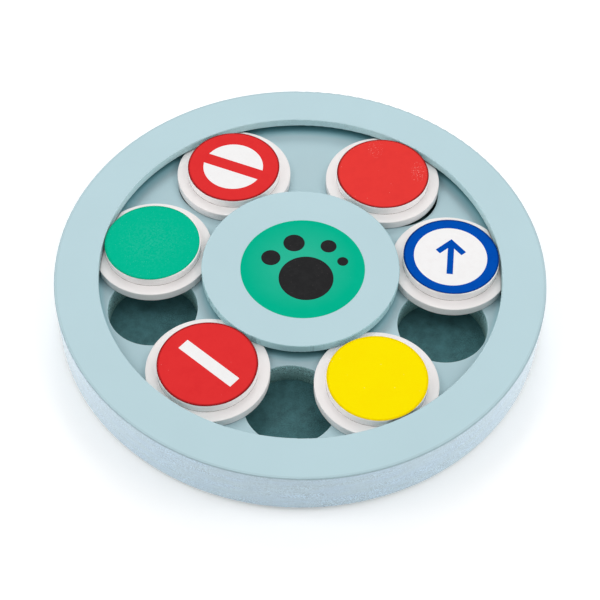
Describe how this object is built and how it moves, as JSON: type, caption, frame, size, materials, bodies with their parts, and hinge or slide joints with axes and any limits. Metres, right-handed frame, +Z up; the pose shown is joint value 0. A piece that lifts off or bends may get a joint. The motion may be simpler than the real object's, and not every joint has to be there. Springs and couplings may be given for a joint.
{
  "type": "dog puzzle feeder toy",
  "caption": "Round wooden puzzle feeder for dogs: stepped pucks slide round a circular track under a lip and cover or bare the treat wells bored in its floor.",
  "frame": {"origin": "middle of the round board, on the plane that its rubber feet stand on", "axes": "+Z up out of the board's face, +X to the right and +Y away from a person who stands in front of it"},
  "size_m": [0.25, 0.25, 0.029],
  "materials": {
    "board_paint": "matte",
    "puck_paint": "matte",
    "rubber": "matte",
    "steel": "satin",
    "yellow_print": "satin",
    "red_print": "satin",
    "green_print": "satin",
    "blue_print": "satin",
    "white_print": "satin",
    "black_print": "satin"
  },
  "bodies": {
    "board": {"backing_panel": "board_paint", "well_board": "board_paint", "track_ring": "board_paint", "lip_ring": "board_paint", "hub_spacer": "board_paint", "hub_disc": "board_paint", "hub_screws": "steel", "rubber_foot_1": "rubber", "rubber_foot_2": "rubber", "rubber_foot_3": "rubber", "rubber_foot_4": "rubber"},
    "blue_puck": {"blue_puck_base": "puck_paint", "blue_puck_cap": "blue_print"},
    "red_puck": {"red_puck_base": "puck_paint", "red_puck_cap": "red_print"},
    "barred_puck": {"barred_puck_base": "puck_paint", "barred_puck_cap": "red_print"},
    "green_puck": {"green_puck_base": "puck_paint", "green_puck_cap": "green_print"},
    "no_entry_puck": {"no_entry_puck_base": "puck_paint", "no_entry_puck_cap": "red_print"},
    "yellow_puck": {"yellow_puck_base": "puck_paint", "yellow_puck_cap": "yellow_print"}
  },
  "joints": [
    {"name": "blue_puck_slide", "type": "hinge", "parent": "board", "child": "blue_puck", "pos_m": [0, 0, 0.024], "axis": [0, 0, 1], "range_deg": [-20.2, 3.6]},
    {"name": "red_puck_slide", "type": "hinge", "parent": "board", "child": "red_puck", "pos_m": [0, 0, 0.024], "axis": [0, 0, 1], "range_deg": [-3.6, 15.8]},
    {"name": "barred_puck_slide", "type": "hinge", "parent": "board", "child": "barred_puck", "pos_m": [0, 0, 0.024], "axis": [0, 0, 1], "range_deg": [-15.8, 4.2]},
    {"name": "green_puck_slide", "type": "hinge", "parent": "board", "child": "green_puck", "pos_m": [0, 0, 0.024], "axis": [0, 0, 1], "range_deg": [-4.2, 17.3]},
    {"name": "no_entry_puck_slide", "type": "hinge", "parent": "board", "child": "no_entry_puck", "pos_m": [0, 0, 0.024], "axis": [0, 0, 1], "range_deg": [-17.3, 18]},
    {"name": "yellow_puck_slide", "type": "hinge", "parent": "board", "child": "yellow_puck", "pos_m": [0, 0, 0.024], "axis": [0, 0, 1], "range_deg": [-18, 20.2]}
  ]
}
